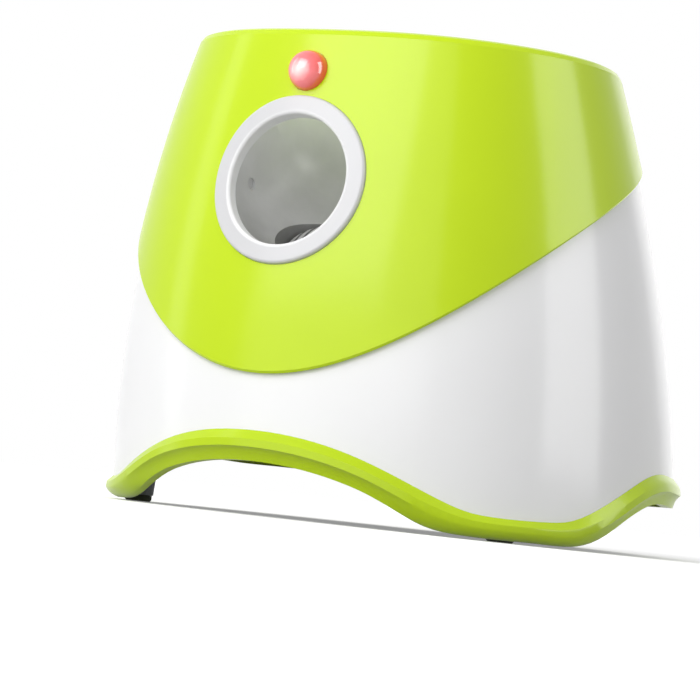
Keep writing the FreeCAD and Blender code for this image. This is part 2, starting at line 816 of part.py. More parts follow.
def make_motor():
    front = plate_right_x + plate_wall + skin_gap
    back = front + motor_length
    y, z = motor_middle.y, motor_middle.z
    can = across(motor_radius, front, back, y, z)
    boss = across(motor_boss_radius, front - motor_boss_length, front, y, z)
    tail = across(motor_tail_radius, back, back + motor_tail_length, y, z)
    tabs = [block(back, back + motor_tab_length, y - motor_tab_half, y + motor_tab_half,
                  z + side - motor_tab_wall / 2.0, z + side + motor_tab_wall / 2.0)
            for side in (-motor_tab_place, motor_tab_place)]
    hole = across(motor_shaft_radius + axle_fit, front - motor_boss_length - 1.0,
                  plate_right_x + plate_wall + motor_shaft_reach + motor_shaft_tip, y, z)
    return fused([can, boss, tail] + tabs).cut(hole)


def plate_outline():
    """Corners of the gearbox plates, seen along X."""
    floor = floor_top + skin_gap + plate_margin
    guide_front = ball_seat + striker_back * 44.0
    guide_back = ball_seat + striker_back * 104.0
    return [V(0, guide_back.y - 22.0, floor), V(0, motor_middle.y, floor),
            V(0, motor_middle.y, motor_middle.z), V(0, guide_front.y, guide_front.z + 4.0)]


def make_plate(x):
    """Gearbox plate standing on the floor plate, with a foot for its screws."""
    corners = plate_outline()
    wire = Part.makePolygon(corners + [corners[0]])
    face = Part.Face(wire).makeOffset2D(plate_margin)
    plate = face.extrude(V(plate_wall, 0, 0))
    plate.translate(V(x, 0, 0))
    outward = -1.0 if x < 0 else 1.0
    foot_x = sorted([x, x + outward * plate_foot_depth + (plate_wall if outward > 0 else 0.0)])
    y0 = corners[0].y - plate_margin / 2.0
    y1 = corners[1].y + plate_margin / 2.0
    foot = block(foot_x[0], foot_x[1], y0, y1, floor_top + skin_gap, floor_top + skin_gap + plate_wall)
    plate = fused([plate, foot])
    holes = [across(axle_radius + press_clearance, x - 1, x + plate_wall + 1, m.y, m.z)
             for m in (sector_middle, gear_a_middle, gear_b_middle)]
    holes += [rod(screw_radius + screw_gap, floor_top - 1, floor_top + 6, *xy) for xy in foot_screws(x)]
    if x > 0:
        holes.append(across(motor_boss_radius + skin_gap, x - 1, x + plate_wall + 1,
                            motor_middle.y, motor_middle.z))
    return plate.cut(holes)


def foot_screws(x):
    outward = -1.0 if x < 0 else 1.0
    place_x = x + outward * plate_foot_depth * 0.62 + (plate_wall if outward > 0 else 0.0)
    corners = plate_outline()
    return [(place_x, corners[0].y + 4.0), (place_x, corners[1].y - 4.0)]


# ---------------------------------------------------------------- floor plate, feet and batteries
def leg_xy(degrees, inset):
    place = wall_point(math.radians(degrees), foot_height, -inset)
    return place.x, place.y


def bay_box():
    length = cells_in_line * cell_length + 2.0 * contact_room
    depth = cell_rows * 2.0 * cell_radius + (cell_rows + 1) * cell_gap
    return -length / 2.0, length / 2.0, bay_front_y, bay_front_y + depth


def make_floor_plate():
    low = floor_top - floor_wall
    outline = body_rail(-shell_wall - edge_gap, low)
    plate = Part.Face(outline).extrude(V(0, 0, floor_wall))
    x0, x1, y0, y1 = bay_box()
    bay = block(x0 - bay_wall, x1 + bay_wall, y0 - bay_wall, y1 + bay_wall,
                floor_top - 0.5, floor_top + bay_height + bay_roof)
    bay_top = floor_top + bay_height
    posts = [rod(board_post_radius, bay_top, bay_top + bay_roof + board_post, *xy)
             for xy in board_holes()]
    legs = []
    hollows = []
    for place in leg_places.values():
        x, y = leg_xy(*place)
        legs.append(Part.makeCone(leg_bottom_radius, leg_top_radius, low + 0.5 - foot_height,
                                  V(x, y, foot_height), V(0, 0, 1)))
        hollows.append(Part.makeCone(leg_bottom_radius - leg_wall, leg_top_radius - leg_wall,
                                     floor_top - 2.0 * foot_height + 1.0,
                                     V(x, y, 2.0 * foot_height), V(0, 0, 1)))
        hollows.append(rod(foot_pin_radius + foot_fit, foot_height - 1.0, 2.0 * foot_height + 1.0, x, y))
    plate = fused([plate, bay] + posts + legs)
    cuts = hollows
    cuts.append(block(x0, x1, y0, y1, low - 1.0, floor_top + bay_height))
    seat = door_seat + door_gap
    cuts.append(block(x0 - seat, x1 + seat, y0 - seat, y1 + seat, low - 1.0, floor_top))
    cuts.append(block(-door_latch - door_gap, door_latch + door_gap, y0 - seat - door_tongue, y0,
                      low + door_pin_radius - door_gap, floor_top))
    cuts.append(across(door_pin_radius + axle_fit, x0 - seat - door_pin_length - 0.3,
                       x1 + seat + door_pin_length + 0.3, door_axis_y(), door_axis_z()))
    cuts += [rod(screw_radius + screw_gap, low - 1.0, floor_top + 1.0, *boss_xy(angle))
             for angle in boss_angles]
    for x in (plate_left_x - plate_wall, plate_right_x):
        cuts += [rod(screw_radius, floor_top - 1.8, floor_top + 1.0, *xy) for xy in foot_screws(x)]
    cuts += [rod(screw_radius, floor_top + bay_height + bay_roof, floor_top + 100.0, *xy)
             for xy in board_holes()]
    for ring, count in speaker_rings.items():
        for i in range(count):
            turn = 2.0 * math.pi * i / count
            x = speaker_place[0] + ring * math.cos(turn)
            y = speaker_place[1] + ring * math.sin(turn)
            cuts.append(rod(speaker_hole_radius, low - 1.0, floor_top + 1.0, x, y))
    return plate.cut(cuts)


def door_axis_y():
    x0, x1, y0, y1 = bay_box()
    return y1 + door_seat - (floor_wall - door_under) / 2.0


def door_axis_z():
    return floor_top - door_under - (floor_wall - door_under) / 2.0


def make_battery_door():
    x0, x1, y0, y1 = bay_box()
    thickness = floor_wall - door_under
    low = floor_top - floor_wall
    slab = block(x0 - door_seat, x1 + door_seat, y0 - door_seat, door_axis_y(), low, low + thickness)
    edge = across(thickness / 2.0, x0 - door_seat, x1 + door_seat, door_axis_y(), door_axis_z())
    pins = across(door_pin_radius, x0 - door_seat - door_pin_length, x1 + door_seat + door_pin_length,
                  door_axis_y(), door_axis_z())
    latch = block(-door_latch, door_latch, y0 - door_seat - door_tongue, y0,
                  low + door_pin_radius, low + thickness)
    grips = [block(-door_latch, door_latch, y0 + door_grip * (i + 1), y0 + door_grip * (i + 1.5),
                   low - 1.0, low + door_pin_radius) for i in range(door_grips)]
    return fused([slab, edge, pins, latch]).cut(grips)


def row_middles():
    x0, x1, y0, y1 = bay_box()
    pitch = 2.0 * cell_radius + cell_gap
    return [y0 + cell_gap + cell_radius + pitch * i for i in range(cell_rows)]


def make_contact_plates():
    """Flat contacts at the positive ends of the rows, on alternate sides."""
    x0, x1, y0, y1 = bay_box()
    z = floor_top + 1.5 + cell_radius
    half = contact_size / 2.0
    plates = []
    for i, y in enumerate(row_middles()):
        x = x0 + 0.05 if i % 2 == 0 else x1 - 0.05 - contact_thickness
        plates.append(block(x, x + contact_thickness, y - half, y + half, z - half, z + half))
    return Part.Compound(plates)


def make_contact_leaves():
    """Bent leaf springs at the negative ends."""
    x0, x1, y0, y1 = bay_box()
    z = floor_top + 1.5 + cell_radius
    half = contact_size / 2.0
    leaves = []
    for i, y in enumerate(row_middles()):
        wall_x, way = (x1 - 0.05, -1.0) if i % 2 == 0 else (x0 + 0.05, 1.0)
        t = contact_thickness * way
        rise = leaf_height * way
        profile = [V(wall_x, 0, z - half), V(wall_x + t, 0, z - half), V(wall_x + rise, 0, z),
                   V(wall_x + t, 0, z + half), V(wall_x, 0, z + half), V(wall_x, 0, z + half - 1.5),
                   V(wall_x + rise - t * 1.3, 0, z), V(wall_x, 0, z - half + 1.5)]
        face = Part.Face(Part.makePolygon(profile + [profile[0]]))
        leaf = face.extrude(V(0, contact_size, 0))
        leaf.translate(V(0, y - half, 0))
        leaves.append(leaf)
    return Part.Compound(leaves)


def make_foot(place):
    x, y = leg_xy(*place)
    pad = rod(foot_radius, 0.0, foot_height - 0.05, x, y)
    pad = pad.makeChamfer(foot_edge, [edge for edge in pad.Edges if edge.BoundBox.ZMax < foot_fit])
    groove = rod(foot_radius - 2.0 * foot_groove, -1.0, foot_edge, x, y)
    groove = groove.cut(rod(foot_radius - 3.0 * foot_groove, -1.0, foot_edge, x, y))
    pin = rod(foot_pin_radius, foot_height - 0.2, foot_height + foot_pin_length - 0.5, x, y)
    return pad.cut(groove).fuse(pin)


# ---------------------------------------------------------------- electronics
def board_middle():
    x0, x1, y0, y1 = bay_box()
    return 0.0, (y0 + y1) / 2.0


def board_holes():
    half_x = board_size[0] / 2.0 - board_inset
    half_y = board_size[1] / 2.0 - board_inset
    x, y = board_middle()
    return [(x + sx * half_x, y + sy * half_y) for sx in (-1, 1) for sy in (-1, 1)]


def board_low():
    return floor_top + bay_height + bay_roof + board_post + 0.05


def make_main_board():
    x, y = board_middle()
    z = board_low()
    board = block(x - board_size[0] / 2, x + board_size[0] / 2, y - board_size[1] / 2, y + board_size[1] / 2,
                  z, z + board_size[2])
    chip = block(x - chip_size[0] / 2, x + chip_size[0] / 2, y - chip_size[1] / 2, y + chip_size[1] / 2,
                 z + board_size[2], z + board_size[2] + chip_size[2])
    top = z + board_size[2]
    plugs = [block(x + place, x + place + plug_size[0], y - plug_back, y - plug_back + plug_size[1],
                   top, top + plug_size[2]) for place in plug_places]
    cans = [rod(can_radius, top, top + can_height, x + can_x, y + place) for place in can_places]
    board = fused([board, chip] + plugs + cans)
    return board.cut([rod(screw_radius + screw_gap, z - 1, z + 4, *xy) for xy in board_holes()])


def make_speaker():
    x, y = speaker_place
    low = floor_top + skin_gap
    frame = rod(speaker_radius, low, low + speaker_wall, x, y)
    magnet = rod(speaker_radius * 0.6, low + speaker_wall, low + speaker_height, x, y)
    cavity = rod(speaker_radius - speaker_wall, low - 1.0, low + 1.5, x, y)
    return fused([frame, magnet]).cut(cavity)


def indicator_x(index):
    return indicator_start + index * indicator_pitch


def make_control_panel():
    panel = rounded_slab(panel_half_width, panel_half_height, 4.0, -panel_depth, panel_proud)
    rim = [edge for edge in panel.Edges if edge.BoundBox.ZMin > panel_proud - 0.01]
    panel = panel.makeFillet(button_round, rim)
    cuts = [rod(button_radius + button_gap, -panel_depth + button_floor, 20.0, button_place),
            rod(button_stem_radius + button_gap, -20.0, 20.0, button_place)]
    cuts += [rod(indicator_radius + press_clearance, -20.0, 20.0, indicator_x(i))
             for i in range(indicator_count)]
    return in_panel(panel.cut(cuts))


def make_power_button():
    low = -panel_depth + button_floor + button_travel + 0.3
    cap = rod(button_radius, low, panel_proud + button_proud, button_place)
    cap = cap.makeFillet(button_round, [edge for edge in cap.Edges if edge.BoundBox.ZMin > panel_proud])
    middle = V(button_place, 0, panel_proud + button_proud + button_dish - button_gap)
    dish = Part.makeSphere(button_dish, middle)
    cap = cap.cut(dish)
    stem = rod(button_stem_radius, -panel_depth - 1.5, low, button_place)
    return in_panel(cap.fuse(stem))


def make_button_board():
    """Small board behind the panel with the switch that the button's stem presses."""
    top = -panel_depth - button_board_gap
    half_x, half_y = button_board_half
    board = rounded_slab(half_x, half_y, 1.0, top - board_wall, top)
    switch = block(button_place - switch_half, button_place + switch_half, -switch_half, switch_half,
                   top, top + switch_height)
    posts = [rod(board_wall, top, -panel_depth - 0.1, side_x * (half_x - 2.0), side_y * (half_y - 2.5))
             for side_x in (-1, 1) for side_y in (-1, 1)]
    return in_panel(fused([board, switch] + posts))


def make_indicator_lens(index):
    lens = rod(indicator_radius, -panel_depth, panel_proud + 0.3, indicator_x(index))
    return in_panel(lens)


def make_power_socket():
    body = fused([rod(socket_radius, -socket_length, 0.5), rod(socket_flange, 0.6, 1.8)])
    bore = rod(socket_bore, -socket_length + 2.0, 5.0)
    pin = rod(socket_pin, -socket_length + 1.0, -1.0)
    return in_socket(body.cut(bore).fuse(pin))


# ---------------------------------------------------------------- fasteners
def cross_slots(x, y, low, high):
    """Crossed recess for the driver."""
    return [block(x - cross_long, x + cross_long, y - cross_wide, y + cross_wide, low, high),
            block(x - cross_wide, x + cross_wide, y - cross_long, y + cross_long, low, high)]


def screw_up(x, y, head_low, reach):
    """Screw driven upwards, its head below the part it holds."""
    head = rod(screw_head_radius, head_low, head_low + screw_head_height, x, y)
    seat = head_low + screw_head_height
    shank = rod(screw_radius - screw_fit, seat, seat + reach, x, y)
    return head.fuse(shank).cut(cross_slots(x, y, head_low - 1.0, head_low + cross_depth))


def screw_down(x, y, seat, reach):
    head = rod(screw_head_radius, seat, seat + screw_head_height, x, y)
    shank = rod(screw_radius - screw_fit, seat - reach, seat, x, y)
    top = seat + screw_head_height
    return head.fuse(shank).cut(cross_slots(x, y, top - cross_depth, top + 1.0))


def make_case_screws():
    low = floor_top - floor_wall - screw_head_height - screw_fit
    return Part.Compound([screw_up(*boss_xy(angle), low, case_screw_reach) for angle in boss_angles])


def make_gearbox_screws():
    seat = floor_top + skin_gap + plate_wall + screw_fit
    places = foot_screws(plate_left_x - plate_wall) + foot_screws(plate_right_x)
    return Part.Compound([screw_down(x, y, seat, gearbox_screw_reach) for x, y in places])


def make_board_screws():
    seat = board_low() + board_size[2] + screw_fit
    return Part.Compound([screw_down(x, y, seat, board_screw_reach) for x, y in board_holes()])


# ---------------------------------------------------------------- write every sub-part
write("upper_cover", make_upper_cover())
write("body_shell", make_body_shell())
write("base_rim", make_base_rim())
write("hopper_bowl", make_hopper_bowl())
write("exit_ring", make_exit_ring())
write("launch_chamber", make_launch_chamber())
write("ball_sensor_emitter", make_sensor(1))
write("ball_sensor_receiver", make_sensor(-1))
write("lamp_lens", make_lamp_lens())
write("lamp_led", make_lamp_led())
write("lamp_board", make_lamp_board())
write("striker_head", make_striker_head())
write("striker_rack", make_striker_rack())
write("striker_guide", make_striker_guide())
write("guide_cap", make_guide_cap())
write("striker_spring", make_striker_spring())
write("sector_gear", make_sector_gear())
write("compound_gear_a", make_compound_gear(gear_a_middle, angle_to_a, angle_to_b, first_plane, second_plane))
write("compound_gear_b", make_compound_gear(gear_b_middle, angle_to_b, angle_to_motor, second_plane, third_plane))
write("motor_pinion", make_motor_pinion())
write("motor_shaft", make_motor_shaft())
write("motor", make_motor())
write("sector_axle", make_axle(sector_middle))
write("gear_axle_a", make_axle(gear_a_middle))
write("gear_axle_b", make_axle(gear_b_middle))
write("gearbox_plate_left", make_plate(plate_left_x - plate_wall))
write("gearbox_plate_right", make_plate(plate_right_x))
write("floor_plate", make_floor_plate())
write("battery_door", make_battery_door())
write("battery_contact_plates", make_contact_plates())
write("battery_contact_leaves", make_contact_leaves())
for leg_name, leg_place in leg_places.items():
    write("rubber_foot_" + leg_name, make_foot(leg_place))
write("main_board", make_main_board())
write("speaker", make_speaker())
write("control_panel", make_control_panel())
write("power_button", make_power_button())
write("button_board", make_button_board())
for index in range(indicator_count):
    write("indicator_lens_" + str(index + 1), make_indicator_lens(index))
write("power_socket", make_power_socket())
write("case_screws", make_case_screws())
write("gearbox_screws", make_gearbox_screws())
write("board_screws", make_board_screws())
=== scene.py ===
import json
import math

import bmesh
import bpy
from mathutils import Matrix, Vector


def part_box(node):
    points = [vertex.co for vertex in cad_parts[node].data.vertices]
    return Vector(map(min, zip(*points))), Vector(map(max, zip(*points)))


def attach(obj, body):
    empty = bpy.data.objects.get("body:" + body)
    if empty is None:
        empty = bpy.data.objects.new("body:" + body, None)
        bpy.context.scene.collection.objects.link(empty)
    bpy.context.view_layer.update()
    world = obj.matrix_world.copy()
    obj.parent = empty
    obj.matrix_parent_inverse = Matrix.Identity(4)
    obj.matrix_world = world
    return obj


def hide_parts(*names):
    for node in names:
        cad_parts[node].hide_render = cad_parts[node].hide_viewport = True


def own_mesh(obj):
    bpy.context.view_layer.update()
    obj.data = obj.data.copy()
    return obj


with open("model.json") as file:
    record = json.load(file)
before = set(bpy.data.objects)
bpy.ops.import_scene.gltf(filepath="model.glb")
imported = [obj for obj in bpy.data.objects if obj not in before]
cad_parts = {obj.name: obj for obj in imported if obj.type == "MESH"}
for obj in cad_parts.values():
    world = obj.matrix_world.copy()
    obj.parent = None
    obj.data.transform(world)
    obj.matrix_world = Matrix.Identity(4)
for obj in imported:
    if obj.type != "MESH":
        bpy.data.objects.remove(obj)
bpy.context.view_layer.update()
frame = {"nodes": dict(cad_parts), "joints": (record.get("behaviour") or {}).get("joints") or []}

nodes = frame["nodes"]
mm = 0.001
white = (1.0, 1.0, 1.0, 1.0)


def srgb(red, green, blue):
    # a colour's 0 to 255 values as the linear shares that a shader takes
    out = []
    for value in (red, green, blue):
        share = value / 255
        out.append(share / 12.92 if share <= 0.04045 else ((share + 0.055) / 1.055) ** 2.4)
    return (*out, 1.0)


class Wire:
    # one output socket, with shader maths written as plain arithmetic
    def __init__(self, graph, socket):
        self.graph = graph
        self.socket = socket

    def __add__(self, other):
        return self.graph.maths("ADD", self, other)

    __radd__ = __add__

    def __sub__(self, other):
        return self.graph.maths("SUBTRACT", self, other)

    def __rsub__(self, other):
        return self.graph.maths("SUBTRACT", other, self)

    def __mul__(self, other):
        return self.graph.maths("MULTIPLY", self, other)

    __rmul__ = __mul__

    def __truediv__(self, other):
        return self.graph.maths("DIVIDE", self, other)

    def __rtruediv__(self, other):
        return self.graph.maths("DIVIDE", other, self)

    def clamped(self, low=0.0, high=1.0):
        return self.graph.node("ShaderNodeClamp", {}, {0: self, 1: low, 2: high})

    def sine(self):
        return self.graph.maths("SINE", self)

    def cosine(self):
        return self.graph.maths("COSINE", self)


class Graph:
    def __init__(self, tree):
        self.tree = tree

    def node(self, kind, settings, values, out=0):
        # any node: its settings first, then a value or a wire for a socket, or a list of wires to join
        made = self.tree.nodes.new(kind)
        for name, value in settings.items():
            if name == "stops":
                ramp = made.color_ramp
                while len(ramp.elements) < len(value):
                    ramp.elements.new(1.0)
                for element, (place, colour) in zip(ramp.elements, value):
                    element.position = place
                    element.color = colour
            else:
                setattr(made, name, value)
        for name, value in values.items():
            for item in value if isinstance(value, list) else [value]:
                if isinstance(item, Wire):
                    self.tree.links.new(item.socket, made.inputs[name])
                else:
                    made.inputs[name].default_value = item
        return Wire(self, made.outputs[out]) if len(made.outputs) else None

    def maths(self, operation, *terms):
        return self.node("ShaderNodeMath", {"operation": operation}, dict(enumerate(terms)))

    def vectors(self, operation, *terms, out=0):
        return self.node("ShaderNodeVectorMath", {"operation": operation}, dict(enumerate(terms)), out)

    def mix(self, share, first, second):
        # 6 and 7 are the node's two colours, and output 2 is the mixed one
        return self.node("ShaderNodeMix", {"data_type": "RGBA"}, {0: share, 6: first, 7: second}, 2)

    def place(self):
        return self.node("ShaderNodeTexCoord", {}, {}, "Object")

    def noise(self, scale, detail=3.0, roughness=0.55, place=None):
        return self.node("ShaderNodeTexNoise", {}, {
            "Vector": place or self.place(), "Scale": scale, "Detail": detail, "Roughness": roughness})

    def bump(self, height, distance):
        return self.node("ShaderNodeBump", {}, {"Height": height, "Distance": distance})


def newMaterial(name):
    material = bpy.data.materials.new(name)
    material.use_nodes = True
    tree = material.node_tree
    tree.nodes.clear()
    return material, Graph(tree)


def finishMaterial(graph, values):
    shader = graph.node("ShaderNodeBsdfPrincipled", {}, values)
    graph.node("ShaderNodeOutputMaterial", {}, {"Surface": shader})


# moulded plastics: colour and its second shade, roughness, clear coat, gloss, and the grain of the mould
# with its depth in millimetres
plastics = {
    "coverGreen": {"colour": srgb(191, 219, 2), "shade": srgb(185, 213, 0), "rough": 0.36, "coat": 0.42,
                   "gloss": 0.1, "grain": 60.0, "depth": 0.006},
    "bowlGreen": {"colour": srgb(188, 217, 20), "shade": srgb(179, 208, 15), "rough": 0.36, "coat": 0.0,
                  "gloss": 0.35, "grain": 60.0, "depth": 0.006},
    "rimGreen": {"colour": srgb(184, 212, 8), "shade": srgb(177, 205, 4), "rough": 0.36, "coat": 0.35,
                 "gloss": 0.1, "grain": 60.0, "depth": 0.006},
    "bodyWhite": {"colour": srgb(238, 238, 239), "shade": srgb(234, 234, 235), "rough": 0.36, "coat": 0.4,
                  "gloss": 0.12, "grain": 60.0, "depth": 0.005},
    "frameBlack": {"colour": srgb(30, 31, 33), "shade": srgb(24, 25, 27), "rough": 0.45, "coat": 0.0,
                   "gloss": 0.5, "grain": 1400.0, "depth": 0.03},
    "floorGrey": {"colour": srgb(146, 149, 151), "shade": srgb(138, 141, 143), "rough": 0.48, "coat": 0.0,
                  "gloss": 0.5, "grain": 1400.0, "depth": 0.04},
    "guideGrey": {"colour": srgb(62, 63, 66), "shade": srgb(55, 56, 59), "rough": 0.4, "coat": 0.0,
                  "gloss": 0.5, "grain": 1400.0, "depth": 0.03},
    "rackBlack": {"colour": srgb(28, 28, 27), "shade": srgb(22, 22, 21), "rough": 0.35, "coat": 0.0,
                  "gloss": 0.5, "grain": 1400.0, "depth": 0.02},
    "gearWhite": {"colour": srgb(222, 219, 210), "shade": srgb(212, 209, 199), "rough": 0.36, "coat": 0.0,
                  "gloss": 0.5, "grain": 700.0, "depth": 0.015},
    "headWhite": {"colour": srgb(172, 172, 172), "shade": srgb(158, 158, 157), "rough": 0.34, "coat": 0.1,
                  "gloss": 0.5, "grain": 700.0, "depth": 0.015},
    "panelGrey": {"colour": srgb(58, 60, 63), "shade": srgb(51, 53, 56), "rough": 0.42, "coat": 0.0,
                  "gloss": 0.5, "grain": 1600.0, "depth": 0.03},
    "speakerBlack": {"colour": srgb(24, 24, 25), "shade": srgb(19, 19, 20), "rough": 0.6, "coat": 0.0,
                     "gloss": 0.5, "grain": 1600.0, "depth": 0.04},
    "footRubber": {"colour": srgb(66, 72, 46), "shade": srgb(57, 63, 38), "rough": 0.72, "coat": 0.0,
                   "gloss": 0.4, "grain": 1200.0, "depth": 0.05},
}

# what all mouldings share: patches of the second shade, and how much the grain and the coat spread a gleam
mould = {
    "patchScale": 18.0,
    "patchDetail": 2.0,
    "roughSpread": 0.08,
    "coatRough": 0.16,
}


def mouldSkin(graph, values):
    # the fine grain of the mould, in roughness and in relief
    grain = graph.noise(values["grain"])
    return {
        "Roughness": values["rough"] + (grain - 0.5) * mould["roughSpread"],
        "Normal": graph.bump(grain, values["depth"] * mm),
    }


def clearCoat(values):
    return {
        "Specular IOR Level": values["gloss"],
        "Coat Weight": values["coat"],
        "Coat Roughness": mould["coatRough"],
    }


def plastic(name):
    values = plastics[name]
    material, graph = newMaterial(name)
    patch = graph.noise(mould["patchScale"], mould["patchDetail"])
    finishMaterial(graph, {
        "Base Color": graph.mix(patch, values["colour"], values["shade"]),
        **mouldSkin(graph, values),
        **clearCoat(values),
    })
    return material


# metals: colour, roughness and how the fine scratches run
metals = {
    "axleSteel": {"colour": srgb(186, 188, 190), "rough": 0.26, "stretch": (60.0, 4000.0, 4000.0)},
    "springSteel": {"colour": srgb(150, 152, 155), "rough": 0.3, "stretch": (1500.0, 1500.0, 1500.0)},
    "motorCan": {"colour": srgb(170, 172, 174), "rough": 0.34, "stretch": (200.0, 2600.0, 2600.0)},
    "pinionBrass": {"colour": srgb(214, 176, 92), "rough": 0.28, "stretch": (80.0, 3000.0, 3000.0)},
}

# what all metals share: how far stains and scratches darken and dull them, and their depth in millimetres
polish = {
    "stainScale": 140.0,
    "stainShare": 0.5,
    "scratchDetail": 2.0,
    "scratchRoughness": 0.5,
    "scratchShare": 0.4,
    "darkest": 0.72,
    "roughSpread": 0.25,
    "depth": 0.01,
}


def metal(name):
    values = metals[name]
    material, graph = newMaterial(name)
    along = graph.node("ShaderNodeMapping", {}, {"Vector": graph.place(), "Scale": values["stretch"]})
    scratches = graph.noise(1.0, polish["scratchDetail"], polish["scratchRoughness"], along)
    stains = graph.noise(polish["stainScale"])
    clean = (stains * polish["stainShare"] + scratches * polish["scratchShare"]).clamped()
    dark = (*(share * polish["darkest"] for share in values["colour"][:3]), 1.0)
    finishMaterial(graph, {
        "Base Color": graph.mix(clean, dark, values["colour"]),
        "Metallic": 1.0,
        "Roughness": values["rough"] + (scratches - 0.5) * polish["roughSpread"],
        "Normal": graph.bump(scratches, polish["depth"] * mm),
    })
    return material


# the exit ring: white, with a painted highlight where its lip turns into the bore, with its place in metres
ring = {
    "face": srgb(202, 202, 204),
    "paintedLipHighlight": srgb(255, 255, 255),
    "middle": (0.0, -0.1257, 0.1464),
    "axis": (0.0, -0.9893, 0.1457),
    "lipRadius": 0.0312,
    "fade": 0.0022,
    "patchScale": 30.0,
    "patchShare": 0.2,
    "rough": 0.38,
    "gloss": 0.3,
    "coat": 0.2,
    "grain": 900.0,
    "depth": 0.01,
}


def ringWhite():
    material, graph = newMaterial("ringWhite")
    fromMiddle = graph.vectors("SUBTRACT", graph.place(), ring["middle"])
    radius = graph.vectors("LENGTH", graph.vectors("CROSS_PRODUCT", fromMiddle, ring["axis"]), out=1)
    patch = graph.noise(ring["patchScale"], mould["patchDetail"])
    # painted highlight: white inside the lip's radius, fading to the face colour further out
    paintedLipHighlight = (ring["lipRadius"] - radius) / ring["fade"] + (patch - 0.5) * ring["patchShare"]
    finishMaterial(graph, {
        "Base Color": graph.mix(paintedLipHighlight.clamped(), ring["face"], ring["paintedLipHighlight"]),
        **mouldSkin(graph, ring),
        **clearCoat(ring),
    })
    return material


# the launch chamber: painted light near the mouth and at the top, painted shade lower down and deeper in,
# with random scuffs over it, over distances in metres
chamber = {
    "pale": srgb(255, 255, 255),
    "paintedShade": srgb(52, 52, 43),
    "topZ": 0.170,
    "fall": 0.050,
    "mouthY": -0.12,
    "reach": 0.075,
    "depthShare": 0.25,
    "scuffScale": 70.0,
    "scuffDetail": 4.0,
    "scuffShare": 0.16,
    "rough": 0.4,
    "grain": 900.0,
    "depth": 0.01,
}


def chamberGrey():
    material, graph = newMaterial("chamberGrey")
    spot = graph.place()
    y, z = [graph.node("ShaderNodeSeparateXYZ", {}, {0: spot}, axis) for axis in "YZ"]
    # painted shade: darker lower down and deeper into the chamber, with random scuffs on top
    low = (chamber["topZ"] - z) / chamber["fall"]
    deep = (y - chamber["mouthY"]) / chamber["reach"]
    scuffs = (graph.noise(chamber["scuffScale"], chamber["scuffDetail"]) - 0.5) * chamber["scuffShare"]
    paintedShadeAndScuffs = low * (1.0 - chamber["depthShare"]) + deep * chamber["depthShare"] + scuffs
    finishMaterial(graph, {
        "Base Color": graph.mix(paintedShadeAndScuffs.clamped(), chamber["pale"], chamber["paintedShade"]),
        **mouldSkin(graph, chamber),
    })
    return material


# the lamp's lens: a tinted dome with a painted glow, pale at its middle as if lit from behind, deep red
# towards its foot, in metres from its tip
lens = {
    "heart": srgb(255, 206, 204),
    "body": srgb(238, 112, 118),
    "foot": srgb(222, 74, 62),
    "heartReach": 0.0008,
    "bodyReach": 0.0058,
    "footReach": 0.0112,
    "cloudScale": 260.0,
    "cloudDetail": 2.0,
    "cloudShare": 0.18,
    "glow": 0.22,
    "rough": 0.1,
    "coat": 1.0,
    "coatRough": 0.04,
}


def lensRed():
    material, graph = newMaterial("lensRed")
    low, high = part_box("lamp_lens")
    tip = ((low[0] + high[0]) / 2, low[1], (low[2] + high[2]) / 2)
    away = graph.vectors("DISTANCE", graph.place(), tip, out=1)
    cloud = (graph.noise(lens["cloudScale"], lens["cloudDetail"]) - 0.5) * lens["cloudShare"]
    # painted glow: pale at the tip and deepening to red at the foot, in both colour and emission
    tone = graph.node("ShaderNodeValToRGB", {"stops": [
        (lens["heartReach"] / lens["footReach"], lens["heart"]),
        (lens["bodyReach"] / lens["footReach"], lens["body"]),
        (1.0, lens["foot"])]}, {"Fac": away / lens["footReach"] + cloud})
    finishMaterial(graph, {
        "Base Color": tone,
        "Roughness": lens["rough"],
        "Coat Weight": lens["coat"],
        "Coat Roughness": lens["coatRough"],
        "Emission Color": tone,
        "Emission Strength": lens["glow"],
    })
    return material


# the clear mouldings: the lamp's diode and the two indicator lenses
clear = {
    "colour": srgb(232, 236, 238),
    "shade": srgb(218, 224, 228),
    "grain": 700.0,
    "grainDetail": 2.0,
    "rough": 0.12,
    "roughSpread": 0.06,
    "seeThrough": 0.6,
    "refraction": 1.49,
}


def clearLens():
    material, graph = newMaterial("clearLens")
    grain = graph.noise(clear["grain"], clear["grainDetail"])
    finishMaterial(graph, {
        "Base Color": graph.mix(grain, clear["colour"], clear["shade"]),
        "Roughness": clear["rough"] + grain * clear["roughSpread"],
        "Transmission Weight": clear["seeThrough"],
        "IOR": clear["refraction"],
    })
    return material


# circuit boards: a woven sheet under green lacquer, with paler copper traces
board = {
    "sheet": srgb(20, 82, 48),
    "weaveShade": srgb(26, 96, 56),
    "trace": srgb(58, 140, 84),
    "weave": 1600.0,
    "weaveDetail": 2.0,
    "traceScale": 140.0,
    "traceWidth": 0.05,
    "traceShare": 0.6,
    "bare": (0.0, 0.0, 0.0, 1.0),
    "faint": (0.15, 0.15, 0.15, 1.0),
    "rough": 0.3,
    "roughSpread": 0.1,
    "coat": 0.4,
    "depth": 0.03,
}


def boardGreen():
    material, graph = newMaterial("boardGreen")
    weave = graph.noise(board["weave"], board["weaveDetail"])
    traces = graph.node("ShaderNodeTexBrick", {}, {
        "Vector": graph.place(), "Scale": board["traceScale"], "Color1": board["bare"],
        "Color2": board["faint"], "Mortar": white, "Mortar Size": board["traceWidth"]})
    tone = graph.mix(weave, board["sheet"], board["weaveShade"])
    finishMaterial(graph, {
        "Base Color": graph.mix(traces * board["traceShare"], tone, board["trace"]),
        "Roughness": board["rough"] + weave * board["roughSpread"],
        "Coat Weight": board["coat"],
        "Normal": graph.bump(traces, board["depth"] * mm),
    })
    return material


